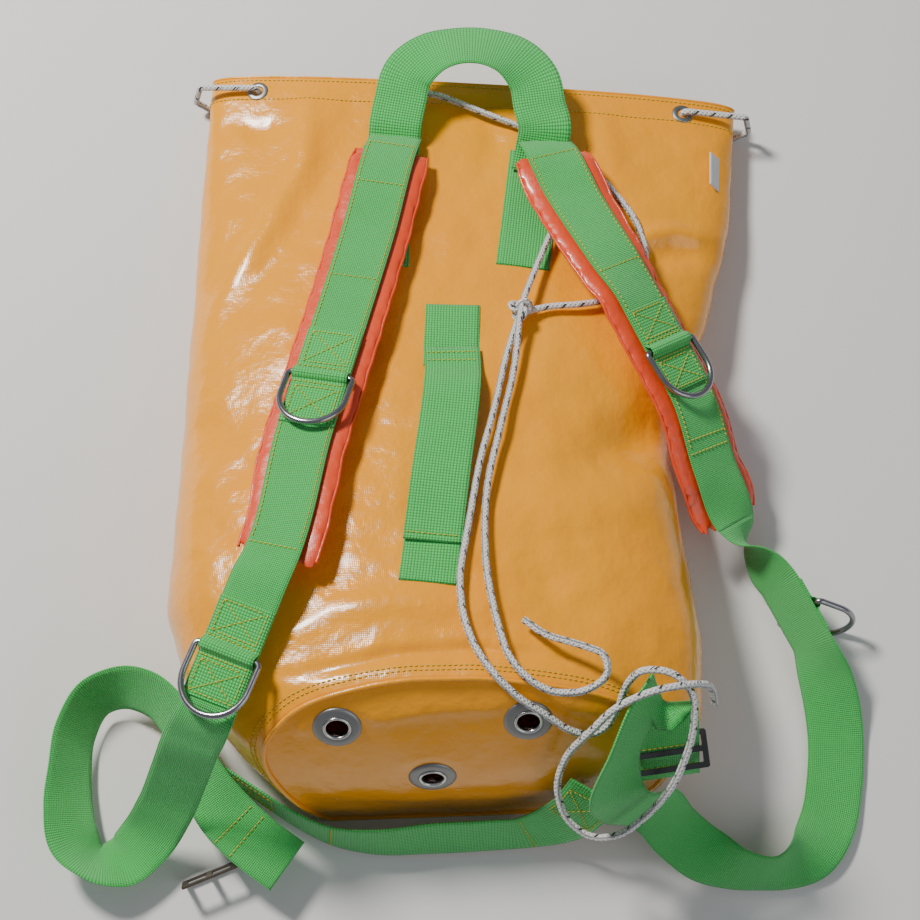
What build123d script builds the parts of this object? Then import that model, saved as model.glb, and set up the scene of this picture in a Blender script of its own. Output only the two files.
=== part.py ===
"""Backpack-style rope bag for water sports, lying on its back with the harness side up.

Millimetres. +Z is up, +Y runs from the base to the open mouth, +X is to the right when the base
is nearest. The origin is on the floor under the middle of the bag. A strap is a chain of stations:
each is a point under the middle of the strap and the direction of the strap's width there.
"""

from build123d import *
from math import cos, pi, radians, sin, tan
import os

os.makedirs("parts", exist_ok=True)

# Driving dimensions -------------------------------------------------------------------------
wall = 1.2                # coated fabric of the bag
base_wall = 2.4           # base panel, doubled fabric
base_radius = 240.0       # curve of the base seen from the side
base_centre = (35.0, -107.0, 5.0)
base_yaw = 5.5            # the base is turned a little to one side, degrees
mouth_y = 352.0
hem_depth = 26.0
split_height = 25.0       # a level that is inside the bag everywhere, under the harness side
sky = 260.0               # above everything

webbing_width = 50.0
webbing_thickness = 2.0
pad_width = 80.0
pad_thickness = 14.0
pad_cover_wall = 2.5

ring_wire = 2.75          # radius of the wire of a D-ring
ring_inside = 53.0        # inside width of a D-ring
ring_corner = 4.0         # bend between the bar and an arm, to the wire's middle
ring_arm = 20.0
ring_tilt = 6.0           # a ring at rest leans on the end of its tab, degrees
ring_clearance = 0.4
sewing_gap = 0.05
body_gap = 0.5            # between pieces that move apart

cord_radius = 3.0
knot_radius = 13.0
eyelet_hole = 5.0
eyelet_flange = 10.5
eyelet_metal = 1.0
eyelet_plate = 1.2
eyelet_y = 335.0
drain_hole = 9.0
drain_flange = 20.0
drain_plate = 1.5

buckle_length = 62.0
buckle_width = 32.0
buckle_thickness = 3.0
buckle_bar = 4.5
buckle_lean = 33.0        # how far a loose buckle leans from its strap, degrees
label_thickness = 0.8

# The bag's cross-sections: y, left edge, right edge, underside, top
bag_sections = [
    (mouth_y, -257, 262, 10, 52),
    (290, -255, 260, 6, 62),
    (220, -253, 258, 0, 76),
    (110, -248, 236, 0, 100),
    (15, -243, 202, 0, 124),
    (-90, -238, 214, 0, 150),
    (-200, -235, 236, 0, 176),
    (-270, -208, 236, 0, 188),
    (-320, -160, 205, 0, 182),
    (-350, -118, 160, 0, 176),
    (-380, -60, 100, 0, 170),
]
# Half of a cross-section's outline, as shares of its half width and of its height
section_outline = [(0.84, 0), (1, 0.38), (0.92, 0.70), (0.66, 0.90), (0.30, 0.99)]


def bag_solid(growth):
    """The bag's outer shape, made larger by growth all round, with both ends cut square."""
    with BuildPart() as solid:
        for y, left, right, low, high in bag_sections:
            half = (right - left) / 2 + growth
            rise = high - low + 2 * growth
            outline = [(across * half, up * rise) for across, up in section_outline]
            outline += [(-x, z) for x, z in reversed(outline)]
            corner = ((left + right) / 2, y, low - growth)
            with BuildSketch(Plane(corner, x_dir=(1, 0, 0), z_dir=(0, -1, 0))):
                Polygon(*outline, align=None)
        loft(ruled=True)
    return solid.part


# The base's own plane: x points out of the bag, y is up, and the base curves about its origin.
base_plane = Plane(
    base_centre,
    x_dir=(sin(radians(base_yaw)), -cos(radians(base_yaw)), 0),
    z_dir=(-cos(radians(base_yaw)), -sin(radians(base_yaw)), 0),
)


def base_layer(inner, outer):
    """A curved sheet across the base, between two radii and wider than the bag."""
    with BuildPart() as sheet:
        with BuildSketch(base_plane):
            Rectangle(outer, 2 * outer, align=(Align.MIN, Align.CENTER))
            Circle(outer, mode=Mode.INTERSECT)
            Circle(inner, mode=Mode.SUBTRACT)
        extrude(amount=sky, both=True)
    return sheet.part


def station_planes(stations, runs=()):
    """One plane a station: x across the strap, y up from its face, z along it.

    runs lists the stations that start a straight, flat run, where a ring's tab is sewn.
    """
    points = [Vector(*point) for point, across in stations]
    planes = []
    for i, (point, across) in enumerate(stations):
        first, last = max(i - 1, 0), min(i + 1, len(points) - 1)
        if i in runs:
            first = i
        if i - 1 in runs:
            last = i
        planes.append(Plane(point, x_dir=across, z_dir=points[last] - points[first]))
    return planes


def ribbon(planes, width, low, high):
    """A flat band through a strap's planes, from low to high above its line."""
    with BuildPart() as band:
        for plane in planes:
            with BuildSketch(plane):
                with Locations((0, (low + high) / 2)):
                    Rectangle(width, high - low)
        loft(ruled=True)
    return band.part


def run_plane(planes, index, share, height):
    """A plane on a straight run: x across, y back towards the shoulder, z off the strap."""
    start = planes[index]
    place = start.origin + start.z_dir * share + start.y_dir * height
    return Plane(place, x_dir=start.x_dir, z_dir=start.y_dir)


def save(piece, name):
    piece.label = name
    export_step(piece, f"parts/{name}.step")


# Bag ----------------------------------------------------------------------------------------
outer_shape = bag_solid(0)
inner_shape = bag_solid(-wall)
mouth_eyelet_x = (-209, -55, 69, 209)
seam_plane = Plane((0, mouth_y, 30), x_dir=(1, 0, 0), z_dir=(0, -0.06, 1))

with BuildPart() as past_base:
    with BuildSketch(base_plane):
        Rectangle(2 * base_radius, 4 * base_radius, align=(Align.MIN, Align.CENTER))
        Circle(base_radius - base_wall, mode=Mode.SUBTRACT)
    extrude(amount=2 * sky, both=True)

with BuildPart() as bag_shell:
    add(outer_shape)
    add(inner_shape, mode=Mode.SUBTRACT)
    add(past_base.part, mode=Mode.SUBTRACT)
    with BuildSketch(Plane.XY.offset(-split_height)):
        with Locations(*[(x, eyelet_y) for x in mouth_eyelet_x]):
            Circle(eyelet_hole + eyelet_metal)
    extrude(amount=sky, mode=Mode.SUBTRACT)

with BuildPart() as harness_panel:
    add(bag_shell.part)
    split(bisect_by=seam_plane, keep=Keep.TOP)
save(harness_panel.part, "harness_panel")

with BuildPart() as back_panel:
    add(bag_shell.part)
    split(bisect_by=seam_plane, keep=Keep.BOTTOM)
save(back_panel.part, "back_panel")

with BuildPart() as mouth_hem:
    with BuildSketch(Plane.XZ.offset(-mouth_y)):
        Rectangle(4 * sky, sky)
    extrude(amount=hem_depth)
    add(inner_shape, mode=Mode.INTERSECT)
    add(bag_solid(-2 * wall), mode=Mode.SUBTRACT)
    with BuildSketch(Plane.XY.offset(-split_height)):
        with Locations(*[(x, eyelet_y) for x in mouth_eyelet_x]):
            Circle(eyelet_hole + eyelet_metal)
    extrude(amount=sky, mode=Mode.SUBTRACT)
save(mouth_hem.part, "mouth_hem")

# The drain eyelets: angle up the curve of the base, and distance along it from the middle
drain_places = [(39.2, 124), (39.2, -32), (23.2, 48)]
drain_planes = []
for angle, aside in drain_places:
    outward = base_plane.x_dir * cos(radians(angle)) + base_plane.y_dir * sin(radians(angle))
    place = base_plane.origin + outward * base_radius + base_plane.z_dir * aside
    drain_planes.append(Plane(place, x_dir=base_plane.z_dir, z_dir=outward))

with BuildPart() as base_panel:
    add(base_layer(base_radius - base_wall, base_radius))
    add(outer_shape, mode=Mode.INTERSECT)
    with BuildSketch(*drain_planes):
        Circle(drain_hole + eyelet_metal)
    extrude(amount=6 * base_wall, both=True, mode=Mode.SUBTRACT)
save(base_panel.part, "base_panel")

with BuildPart() as drain_eyelets:
    with BuildSketch(*drain_planes):
        Circle(drain_flange)
    extrude(amount=4 * base_wall, both=True)
    add(base_layer(base_radius, base_radius + drain_plate), mode=Mode.INTERSECT)
    with BuildSketch(*drain_planes):
        Circle(drain_hole + eyelet_metal)
    extrude(amount=-base_wall - drain_plate)
    with BuildSketch(*[plane.offset(drain_plate / 2) for plane in drain_planes]):
        Circle(drain_hole + eyelet_metal)
    extrude(amount=-drain_plate)
    with BuildSketch(*drain_planes):
        Circle(drain_hole)
    extrude(amount=6 * base_wall, both=True, mode=Mode.SUBTRACT)
save(drain_eyelets.part, "drain_eyelets")

with BuildPart() as drain_washers:
    with BuildSketch(*drain_planes):
        Circle(drain_flange)
        Circle(drain_hole + eyelet_metal, mode=Mode.SUBTRACT)
    extrude(amount=4 * base_wall, both=True)
    inside_base = base_radius - base_wall
    add(base_layer(inside_base - drain_plate, inside_base), mode=Mode.INTERSECT)
save(drain_washers.part, "drain_washers")


def eyelet_rings(across, above):
    """Upright rings through the mouth's eyelets, from the inside level up, or down."""
    with BuildPart() as rings:
        with BuildSketch(Plane.XY.offset(split_height)):
            with Locations(*[(x, eyelet_y) for x in mouth_eyelet_x]):
                Circle(across)
                Circle(eyelet_hole, mode=Mode.SUBTRACT)
        extrude(amount=sky if above else -sky)
    return rings.part


plate_shape = bag_solid(eyelet_plate)
hem_inside = bag_solid(-2 * wall)
washer_inside = bag_solid(-2 * wall - eyelet_plate)

with BuildPart() as mouth_eyelets:
    for above in (True, False):
        add(eyelet_rings(eyelet_hole + eyelet_metal, above))
    add(washer_inside, mode=Mode.SUBTRACT)
    add(plate_shape, mode=Mode.INTERSECT)
with BuildPart() as flanges:
    for above in (True, False):
        add(eyelet_rings(eyelet_flange, above))
    add(outer_shape, mode=Mode.SUBTRACT)
    add(plate_shape, mode=Mode.INTERSECT)
with BuildPart() as mouth_eyelets_whole:
    add(mouth_eyelets.part)
    add(flanges.part)
save(mouth_eyelets_whole.part, "mouth_eyelets")

with BuildPart() as mouth_washers:
    for above in (True, False):
        add(eyelet_rings(eyelet_flange, above))
    add(washer_inside, mode=Mode.SUBTRACT)
    add(hem_inside, mode=Mode.INTERSECT)
    with BuildSketch(Plane.XY.offset(-split_height)):
        with Locations(*[(x, eyelet_y) for x in mouth_eyelet_x]):
            Circle(eyelet_hole + eyelet_metal)
    extrude(amount=sky, mode=Mode.SUBTRACT)
save(mouth_washers.part, "mouth_washers")

# Sewn patches that lie on the harness side ---------------------------------------------------
webbing_shape = bag_solid(webbing_thickness)
label_shape = bag_solid(label_thickness)


def patch(name, cover, place, length, width, turn):
    """A patch between the bag and a slightly larger shape, turned about its middle."""
    with BuildPart() as piece:
        with BuildSketch(Plane((*place, split_height)).rotated((0, 0, turn))):
            Rectangle(width, length)
        extrude(amount=sky)
        add(cover, mode=Mode.INTERSECT)
        add(outer_shape, mode=Mode.SUBTRACT)
    save(piece.part, name)


patch("left_haul_anchor", webbing_shape, (-72, 204), 140, webbing_width, 2)
patch("right_haul_anchor", webbing_shape, (64, 208), 134, webbing_width, -3)
patch("hand_strap_top_patch", webbing_shape, (0, 62), 66, webbing_width, 2)
patch("hand_strap_bottom_patch", webbing_shape, (-3, -158), 50, webbing_width, -2)
patch("label", label_shape, (245, 272), 36, 30, 0)

# The hand strap bows up between its two sewn ends
hand_strap_stations = [
    ((2, 32, 126), (1, 0, 0)),
    ((4, 10, 137), (1, 0.02, 0.02)),
    ((3, -30, 150), (1, 0.05, 0)),
    ((0, -80, 160), (1, 0.05, 0)),
    ((-2, -128, 167), (1, 0.03, 0)),
]
hand_strap = ribbon(station_planes(hand_strap_stations), webbing_width, 0, webbing_thickness)
save(hand_strap, "hand_strap")

# Harness ------------------------------------------------------------------------------------
left_stations = [
    ((-69, 264, 86), (1, -0.10, 0.05)),
    ((-83, 160, 112), (1, -0.14, 0.08)),
    ((-96, 78, 132), (1, -0.15, 0.15)),
    ((-118, -50, 163), (1, -0.15, 0.15)),
    ((-134, -172, 189), (1, -0.12, 0.22)),
    ((-142, -196, 192), (1, -0.30, 0.16)),
    ((-175, -299.7, 174.3), (1, -0.30, 0.16)),
    ((-190, -322, 143), (1, -0.22, 0.15)),
    ((-204, -342, 100), (1, -0.16, 0.10)),
    ((-221, -368, 55), (1, -0.16, 0.10)),
    ((-240, -392, 26), (1, -0.40, 0.10)),
]
left_return_stations = [
    ((-258, -410, 20), (0.8, -0.75, 0.3)),
    ((-280, -414, 24), (0.3, -0.75, 0.65)),
    ((-300, -398, 28), (-0.5, -0.65, 0.6)),
    ((-310, -368, 28), (-0.7, -0.3, 0.7)),
    ((-313, -335, 28), (-0.6, 0.0, 0.8)),
    ((-312, -300, 29), (-0.5, 0.25, 0.8)),
    ((-298, -270, 31), (-0.3, 0.45, 0.8)),
    ((-272, -260, 34), (0.0, 0.6, 0.75)),
    ((-245, -266, 38), (0.05, 0.7, 0.7)),
    ((-222, -286, 44), (0.2, 0.75, 0.65)),
    ((-204, -310, 49), (0.4, 0.5, 0.75)),
    ((-190, -340, 50), (0.8, 0.3, 0.5)),
    ((-168, -368, 45), (0.8, 0.6, 0.15)),
    ((-142, -389, 40), (0.7, 0.75, 0)),
    ((-113, -407, 36), (0.7, 0.75, 0)),
]
right_stations = [
    ((79, 264, 95), (1, 0.02, 0)),
    ((104, 210, 107), (1, 0.05, -0.05)),
    ((142, 144, 120), (1, 0.3, -0.30)),
    ((165, 110, 118), (0.75, 0.35, -0.45)),
    ((216, 27, 99), (0.75, 0.35, -0.45)),
    ((244, -38, 73), (0.85, 0.30, -0.50)),
    ((266, -80, 50), (0.80, 0.25, -0.60)),
    ((272, -92, 46), (0.50, 0.25, -0.80)),
    ((281, -103, 43), (0.05, -0.05, -1)),
    ((296, -120, 41), (-0.35, -0.30, -0.85)),
    ((308, -134, 40), (-0.45, -0.20, -0.80)),
    ((337, -182, 35), (-0.45, -0.20, -0.80)),
    ((355, -218, 19), (-0.80, -0.30, -0.45)),
    ((364, -255, 8), (-1, -0.08, -0.1)),
    ((364, -300, 6), (-1, -0.15, 0)),
    ((357, -338, 9), (-0.95, -0.20, 0.10)),
    ((338, -370, 18), (-0.85, 0.05, 0.45)),
]
right_return_stations = [
    ((310, -386, 24), (-0.55, 0.25, 0.75)),
    ((280, -387, 29), (-0.25, 0.55, 0.75)),
    ((248, -376, 34), (0.15, 0.90, 0.40)),
    ((220, -360, 52), (0.55, 0.80, 0.10)),
    ((199, -346, 82), (0.80, 0.60, 0.05)),
    ((174, -350, 112), (0.90, 0.42, -0.05)),
    ((160, -345, 144), (0.85, 0.30, -0.30)),
    ((164, -312, 176), (0.55, 0.30, -0.75)),
    ((180, -280, 190), (0.45, -0.30, -0.80)),
    ((193, -271, 183), (0.85, -0.20, -0.45)),
    ((197, -278, 168), (0.97, 0.20, 0.01)),
    ((206, -320, 112), (0.97, 0.20, 0.01)),
]
belt_stations = [
    ((-176, -328, 26), (0.1, 0.05, 1)),
    ((-146, -345, 27), (0.05, 0.1, 1)),
    ((-112, -364, 27), (0.0, 0.15, 1)),
    ((-78, -377, 27), (0.0, 0.2, 1)),
    ((-40, -380, 26), (0.0, 0.3, 0.95)),
    ((10, -374, 27), (0.0, 0.4, 0.9)),
    ((55, -369, 28), (0.0, 0.4, 0.9)),
    ((92, -364, 30), (-0.1, 0.4, 0.9)),
    ((116, -358, 45), (-0.5, 0.45, 0.75)),
    ((132, -350, 74), (-0.7, 0.4, 0.6)),
    ((146, -336, 102), (-0.7, 0.5, 0.5)),
]

left_planes = station_planes(left_stations, runs=(2, 5))
right_planes = station_planes(right_stations, runs=(3, 10))
left_return = [left_planes[-1].offset(body_gap), *station_planes(left_return_stations)]
right_return = [
    right_planes[-1].offset(body_gap),
    *station_planes(right_return_stations, runs=(10,)),
]
belt_planes = station_planes(belt_stations)


def padded(side, planes):
    """A closed fabric cover with a foam core inside it."""
    ends = [planes[0].offset(pad_cover_wall), *planes[1:-1], planes[-1].offset(-pad_cover_wall)]
    foam = ribbon(
        ends,
        pad_width - 2 * pad_cover_wall,
        pad_cover_wall - pad_thickness,
        -pad_cover_wall,
    )
    with BuildPart() as cover:
        add(ribbon(planes, pad_width, -pad_thickness, 0))
        add(foam, mode=Mode.SUBTRACT)
    save(cover.part, f"{side}_pad_cover")
    save(foam, f"{side}_pad_foam")


padded("left", left_planes[:5])
padded("right", right_planes[:7])

straps = {
    "left_shoulder_webbing": left_planes[:7],
    "left_lower_strap": left_planes[6:],
    "left_lower_strap_return": left_return,
    "right_shoulder_webbing": right_planes[:7],
    "right_lower_strap": right_planes[6:],
    "right_lower_strap_return": right_return,
    "left_anchor_tab": belt_planes[:4],
    "base_belt": belt_planes[3:8],
    "right_anchor_tab": belt_planes[7:],
}
for name, planes in straps.items():
    save(ribbon(planes, webbing_width, 0, webbing_thickness), name)

haul_stations = [
    ((-68, 285, 85), (-1, 0.05, 0)),
    ((-65, 308, 90), (-1, 0.14, 0)),
    ((-59, 334, 97), (-0.9, 0.42, 0)),
    ((-40, 352, 103), (-0.6, 0.76, -0.15)),
    ((-14, 361, 106), (-0.15, 0.94, -0.3)),
    ((14, 362, 106), (0.12, 0.95, -0.3)),
    ((42, 353, 104), (0.6, 0.76, -0.15)),
    ((61, 334, 99), (0.9, 0.42, 0)),
    ((68, 308, 96), (1, 0.14, 0)),
    ((74, 286, 94), (1, 0.05, 0)),
]
save(ribbon(station_planes(haul_stations), webbing_width, 0, webbing_thickness), "haul_loop")

# D-rings and the tabs that hold them ---------------------------------------------------------
# The tab lies on a straight run of a strap: run, place along it, and how far the ring leans off
ring_places = {
    "left_upper": (left_planes, 2, 82, 50, ring_tilt),
    "left_lower": (left_planes, 5, 61, 42, ring_tilt),
    "right_upper": (right_planes, 3, 54, 42, ring_tilt),
    "right_lower": (right_planes, 10, 28, 25, 53),
}
tunnel_radius = ring_wire + ring_clearance
ring_half = ring_inside / 2 + ring_wire
bar_end = ring_half - ring_corner
arm_end = -ring_corner - ring_arm

with BuildPart() as d_ring:
    with BuildLine():
        Line((0, 0), (bar_end, 0))
        JernArc((bar_end, 0), (1, 0), ring_corner, -90)
        Line((ring_half, -ring_corner), (ring_half, arm_end))
        JernArc((ring_half, arm_end), (0, -1), ring_half, -90)
    with BuildSketch(Plane.YZ):
        Circle(ring_wire)
    sweep()
    mirror(about=Plane.YZ)

for name, (planes, index, share, tab_half, tilt) in ring_places.items():
    bar = run_plane(planes, index, share, webbing_thickness + sewing_gap + tunnel_radius)
    with BuildPart() as tab:
        with BuildSketch(Plane(bar.origin, x_dir=bar.y_dir, z_dir=bar.x_dir)):
            with Locations((0, webbing_thickness / 2 - tunnel_radius)):
                Rectangle(2 * tab_half, webbing_thickness)
            Circle(tunnel_radius + webbing_thickness)
            with Locations((0, -tunnel_radius)):
                Rectangle(2 * tab_half, sky, align=(Align.CENTER, Align.MAX), mode=Mode.SUBTRACT)
            Circle(tunnel_radius, mode=Mode.SUBTRACT)
            Rectangle(
                2 * tunnel_radius, tunnel_radius, align=(Align.CENTER, Align.MAX), mode=Mode.SUBTRACT
            )
        extrude(amount=webbing_width / 2, both=True)
    save(tab.part, f"{name}_ring_tab")
    ring = bar.location * Rotation(-tilt, 0, 0) * d_ring.part
    save(ring, f"{name}_ring")
    print(name, "ring hinge", bar.origin, bar.x_dir * -1)

# Buckles ------------------------------------------------------------------------------------
# The right strap's end passes through a three-bar frame, over one side bar and under the rest
slot_width = (buckle_width - 3 * buckle_bar) / 2
slot_offset = (slot_width + buckle_bar) / 2
strap_end = run_plane(right_return, len(right_return) - 2, 34, webbing_thickness / 2)
frame_plane = Plane(strap_end.location * Rotation(-buckle_lean, 0, 0))
with BuildPart() as right_buckle:
    with BuildSketch(frame_plane):
        with Locations((0, -slot_offset)):
            RectangleRounded(buckle_length, buckle_width, buckle_bar / 2)
        with Locations((0, 0), (0, -2 * slot_offset)):
            RectangleRounded(webbing_width + 3, slot_width, 1, mode=Mode.SUBTRACT)
    extrude(amount=buckle_thickness / 2, both=True)
save(right_buckle.part, "right_buckle")
print("right buckle slide", strap_end.origin, strap_end.y_dir * -1)

# The left one is a stamped steel plate that stands on edge, held at one end by a sewn loop
plate_thickness = 2.0
plate_length = 72.0
plate_width = 30.0
plate_bar = 5.0
plate_plane = Plane((-172, -412, 17), x_dir=(-0.9, -0.43, 0), z_dir=(0.41, -0.86, -0.28))
with BuildPart() as left_buckle:
    with BuildSketch(plate_plane):
        RectangleRounded(plate_length, plate_width, plate_bar / 2)
        for i in (-1, 0, 1):
            with Locations((i * (plate_length - plate_bar) / 3, 0)):
                slot = (plate_length - 4 * plate_bar) / 3
                RectangleRounded(slot, plate_width - 2 * plate_bar, 1, mode=Mode.SUBTRACT)
    extrude(amount=plate_thickness / 2, both=True)
save(left_buckle.part, "left_buckle")

loop_gap = plate_bar / 2 + 0.8
end_bar = plate_plane.from_local_coords((-(plate_length - plate_bar) / 2, 0, 0))
loop_plane = Plane(end_bar, x_dir=plate_plane.x_dir, z_dir=plate_plane.y_dir)
with BuildPart() as left_buckle_loop:
    with BuildSketch(loop_plane):
        Circle(loop_gap + webbing_thickness)
        Rectangle(26, 2 * webbing_thickness, align=(Align.MAX, Align.CENTER))
        Circle(loop_gap, mode=Mode.SUBTRACT)
    extrude(amount=(plate_width - 2 * plate_bar) / 2 - 0.6, both=True)
save(left_buckle_loop.part, "left_buckle_loop")
print("left buckle hinge", loop_plane.origin, loop_plane.z_dir)

# Cord ---------------------------------------------------------------------------------------


def cord(name, points, radii=None):
    """A round cord along straight runs joined by arcs as large as the runs allow."""
    corners = [Vector(*point) for point in points]
    if radii is None:
        radii = []
        for before, here, after in zip(corners, corners[1:], corners[2:]):
            run = min((here - before).length, (after - here).length)
            radii.append(0.45 * run / tan(radians((here - before).get_angle(after - here) / 2)))
    with BuildPart() as tube:
        with BuildLine() as route:
            FilletPolyline(*corners, radius=radii)
        with BuildSketch(Plane(corners[0], z_dir=corners[1] - corners[0])):
            Circle(cord_radius)
        sweep()
    save(tube.part, name)
    length = route.wires()[0].length
    share = tube.part.volume / (pi * cord_radius**2 * length)
    print(name, "length", round(length), "volume share", round(share, 4))
    print("smallest radius", round(min(radii), 1))


# Through the mouth's eyelets and outside round both side edges
weave_points = [
    (-55, eyelet_y, 58),
    (-55, eyelet_y, 44),
    (-209, eyelet_y, 30),
    (-209, eyelet_y, 53),
    (-266, eyelet_y, 47),
    (-274, eyelet_y, 18),
    (-262, eyelet_y, 3.2),
    (-209, eyelet_y, 3.2),
    (-209, eyelet_y, 19),
    (-55, eyelet_y, 19),
    (-55, eyelet_y, 3.2),
    (69, eyelet_y, 3.2),
    (69, eyelet_y, 19),
    (209, eyelet_y, 19),
    (209, eyelet_y, 3.2),
    (266, eyelet_y, 3.2),
    (278, eyelet_y, 18),
    (271, eyelet_y, 47),
    (209, eyelet_y, 53),
    (209, eyelet_y, 30),
    (69, eyelet_y, 44),
    (69, eyelet_y, 58),
]
cord("mouth_cord", weave_points, [4.5] * (len(weave_points) - 2))

left_cord_points = [
    (-55, eyelet_y, 60.2),
    (-50, 333, 66),
    (-28, 330, 66),
    (20, 312, 66),
    (75, 292, 67),
    (125, 255, 73),
    (165, 205, 77),
    (178, 160, 81),
    (160, 118, 95),
    (118, 102, 107),
    (86, 97, 110),
    (60, 86, 116.5),
    (50, 44, 123),
    (42, -16, 140),
    (32, -67, 154),
    (27, -121, 167),
    (21, -177, 180),
    (26, -212, 188),
    (38, -240, 193),
    (56, -262, 193),
    (78, -278, 182),
    (98, -286, 171),
    (116, -295, 159),
    (134, -298, 153),
    (148, -292, 159),
    (156, -278, 177),
    (160, -262, 198),
    (170, -253, 216),
    (194, -254, 219),
    (214, -268, 206),
    (216, -298, 186),
    (206, -332, 160),
    (190, -353, 132),
    (168, -371, 106),
    (143, -374, 92),
    (120, -360, 104),
    (110, -336, 128),
    (117, -314, 154),
    (134, -300, 186),
    (150, -284, 208),
    (178, -271, 222),
    (210, -262, 213),
    (230, -256, 184),
    (236, -266, 156),
]
right_cord_points = [
    (69, eyelet_y, 60.2),
    (72, 331, 69),
    (81, 314, 76),
    (91, 290, 78),
    (97, 263, 74.5),
    (98, 238, 79),
    (94, 206, 88),
    (83, 172, 97),
    (71, 130, 110),
    (60, 90, 123.5),
    (58, 26, 131),
    (49, -28, 144),
    (40, -85, 158),
    (39, -125, 168),
    (43, -171, 179),
    (53, -212, 188),
    (64, -244, 194),
    (81, -262, 192),
    (102, -271, 186),
    (128, -269, 187),
    (146, -257, 197),
    (143, -239, 200),
    (118, -231, 195),
    (94, -225, 190),
    (76, -212, 186),
]
cord("left_drawcord", left_cord_points)
cord("right_drawcord", right_cord_points)

with BuildPart() as drawcord_knot:
    with Locations((60, 88, 120)):
        Sphere(knot_radius)
save(drawcord_knot.part, "drawcord_knot")
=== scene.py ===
import math

import bmesh
import bpy
import numpy as np
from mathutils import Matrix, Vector, noise
from mathutils.bvhtree import BVHTree


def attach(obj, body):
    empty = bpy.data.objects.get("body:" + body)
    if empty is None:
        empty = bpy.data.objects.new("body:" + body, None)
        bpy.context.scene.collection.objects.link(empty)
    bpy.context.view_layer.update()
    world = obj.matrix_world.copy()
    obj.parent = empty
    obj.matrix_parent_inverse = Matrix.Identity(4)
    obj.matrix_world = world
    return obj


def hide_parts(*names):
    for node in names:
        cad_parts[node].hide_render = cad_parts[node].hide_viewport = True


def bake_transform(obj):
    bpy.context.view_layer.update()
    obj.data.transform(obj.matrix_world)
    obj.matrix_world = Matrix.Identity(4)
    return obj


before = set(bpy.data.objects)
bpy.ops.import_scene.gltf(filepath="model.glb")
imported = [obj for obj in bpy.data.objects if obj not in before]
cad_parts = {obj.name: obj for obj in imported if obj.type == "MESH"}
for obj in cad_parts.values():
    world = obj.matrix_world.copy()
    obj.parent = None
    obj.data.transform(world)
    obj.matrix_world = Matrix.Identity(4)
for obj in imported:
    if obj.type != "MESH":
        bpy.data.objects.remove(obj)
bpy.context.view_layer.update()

MM = 0.001
CLOTH = "coated_fabric"
STRAND_WAVE = 1500.0  # radians of the braid pattern in a metre of cord


# Shader helpers -------------------------------------------------------------------------------
class Shader:
    """A material with one Principled surface and a short way to add nodes to it."""

    def __init__(self, name, colour, roughness, metallic=0.0, coat=0.0, sheen=0.0):
        self.material = bpy.data.materials.new(name)
        self.material.use_nodes = True
        self.tree = self.material.node_tree
        self.tree.nodes.clear()
        out = self.tree.nodes.new("ShaderNodeOutputMaterial")
        self.surface = self.tree.nodes.new("ShaderNodeBsdfPrincipled")
        self.tree.links.new(self.surface.outputs[0], out.inputs[0])
        self.surface.inputs["Base Color"].default_value = (*colour, 1)
        self.surface.inputs["Roughness"].default_value = roughness
        self.surface.inputs["Metallic"].default_value = metallic
        self.surface.inputs["Coat Weight"].default_value = coat
        self.surface.inputs["Sheen Weight"].default_value = sheen

    def node(self, kind, **inputs):
        made = self.tree.nodes.new("ShaderNode" + kind)
        for key, value in inputs.items():
            self.feed(made.inputs[key.replace("_", " ")], value)
        return made

    def feed(self, socket, value):
        if isinstance(value, bpy.types.NodeSocket):
            self.tree.links.new(value, socket)
        else:
            socket.default_value = value

    def math(self, operation, *values):
        made = self.tree.nodes.new("ShaderNodeMath")
        made.operation = operation
        for socket, value in zip(made.inputs, values):
            self.feed(socket, value)
        return made.outputs[0]

    def mix(self, share, first, second):
        made = self.tree.nodes.new("ShaderNodeMix")
        made.data_type = "RGBA"
        self.feed(made.inputs["Factor"], share)
        for socket, value in ((made.inputs[6], first), (made.inputs[7], second)):
            self.feed(socket, (*value, 1) if isinstance(value, tuple) else value)
        return made.outputs[2]

    def colour(self, value):
        self.feed(self.surface.inputs["Base Color"], value)

    def rough(self, value):
        self.feed(self.surface.inputs["Roughness"], value)

    def bump(self, height, depth):
        made = self.node("Bump", Height=height, Distance=depth, Strength=1.0)
        self.feed(self.surface.inputs["Normal"], made.outputs[0])

    def object_noise(self, scale, detail=3.0):
        place = self.tree.nodes.new("ShaderNodeTexCoord").outputs["Object"]
        made = self.node("TexNoise", Vector=place, Scale=scale, Detail=detail)
        return made.outputs[0]

    def uv(self):
        place = self.tree.nodes.new("ShaderNodeTexCoord").outputs["UV"]
        made = self.node("SeparateXYZ", Vector=place)
        return made.outputs[0], made.outputs[1]


def coated_cloth(name, colour, dark, roughness, scrim):
    """Glossy coated cloth: faint scrim threads, fine rumples and slightly uneven gloss."""
    s = Shader(name, colour, roughness, coat=0.35)
    s.surface.inputs["Coat Roughness"].default_value = 0.12
    broad = s.object_noise(9.0)
    fine = s.object_noise(120.0, 4.0)
    s.colour(s.mix(s.math("MULTIPLY", broad, 0.55), colour, dark))
    s.rough(s.math("ADD", s.math("MULTIPLY", fine, 0.16), roughness - 0.08))
    place = s.node("SeparateXYZ", Vector=s.tree.nodes.new("ShaderNodeTexCoord").outputs["Object"])
    rows = s.math("SINE", s.math("MULTIPLY", place.outputs[0], 2 * math.pi / scrim))
    columns = s.math("SINE", s.math("MULTIPLY", place.outputs[1], 2 * math.pi / scrim))
    threads = s.math("MULTIPLY", s.math("ADD", rows, columns), 0.02)
    rumple = s.math("MULTIPLY", s.object_noise(38.0, 3.0), 3.0)
    s.bump(s.math("ADD", s.math("ADD", threads, rumple), s.math("MULTIPLY", fine, 0.35)), 0.0009)
    return s.material


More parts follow.
